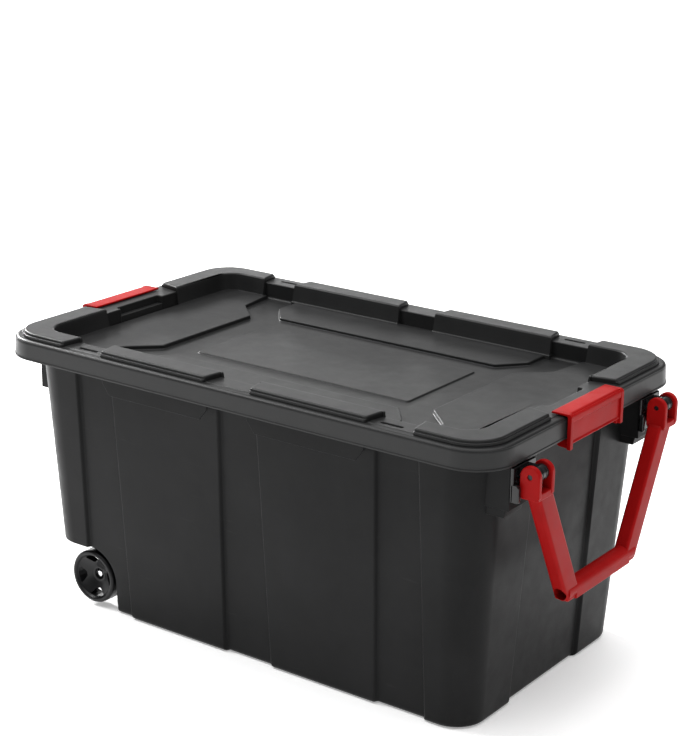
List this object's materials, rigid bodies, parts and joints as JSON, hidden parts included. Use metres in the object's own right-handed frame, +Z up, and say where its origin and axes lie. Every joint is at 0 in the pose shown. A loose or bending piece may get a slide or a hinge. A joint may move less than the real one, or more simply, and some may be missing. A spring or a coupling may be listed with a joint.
{
  "type": "wheeled storage tote",
  "caption": "Fluted outdoor storage tote with a lift-off stacking lid, over-rim latches, a swinging pull handle and wheels under one end.",
  "frame": {"origin": "centre of the tub's flat base, on the floor, midway between the end walls", "axes": "+X towards the pull-handle end, -X the wheel end, +Y the right side, +Z up"},
  "size_m": [0.9268, 0.543, 0.4475],
  "materials": {
    "tub": "fine matt grain",
    "lid": "fine matt grain, slight sheen",
    "red_parts": "satin",
    "bracket": "semi-gloss",
    "wheel": "satin",
    "steel": "zinc-bright",
    "cap": "bright pressed cap",
    "pin": "black oxide"
  },
  "bodies": {
    "tub_body": {"tub": "tub", "handle_bracket_left": "bracket", "handle_bracket_right": "bracket", "handle_pin_left": "pin", "handle_pin_right": "pin", "axle": "steel", "axle_cap_left": "cap", "axle_cap_right": "cap"},
    "lid_body": {"lid": "lid"},
    "latch_handle_end_body": {"latch_handle_end": "red_parts"},
    "latch_wheel_end_body": {"latch_wheel_end": "red_parts"},
    "pull_handle_body": {"pull_handle": "red_parts"},
    "wheel_left_body": {"wheel_left": "wheel"},
    "wheel_right_body": {"wheel_right": "wheel"}
  },
  "joints": [
    {"name": "lid_lift", "type": "slide", "parent": "tub_body", "child": "lid_body", "axis": [0, 0, 1], "range_m": [0, 0.36]},
    {"name": "latch_handle_end_swing", "type": "hinge", "parent": "tub_body", "child": "latch_handle_end_body", "pos_m": [0.432, 0, 0.4005], "axis": [0, 1, 0], "range_deg": [0, 110]},
    {"name": "latch_wheel_end_swing", "type": "hinge", "parent": "tub_body", "child": "latch_wheel_end_body", "pos_m": [-0.432, 0, 0.4005], "axis": [0, -1, 0], "range_deg": [0, 110]},
    {"name": "handle_swing", "type": "hinge", "parent": "tub_body", "child": "pull_handle_body", "pos_m": [0.461, 0, 0.394], "axis": [0, -1, 0], "range_deg": [-5, 165]},
    {"name": "wheel_left_spin", "type": "hinge", "parent": "tub_body", "child": "wheel_left_body", "pos_m": [-0.315, -0.195, 0.049], "axis": [0, 1, 0], "continuous": true},
    {"name": "wheel_right_spin", "type": "hinge", "parent": "tub_body", "child": "wheel_right_body", "pos_m": [-0.315, 0.195, 0.049], "axis": [0, 1, 0], "continuous": true}
  ]
}
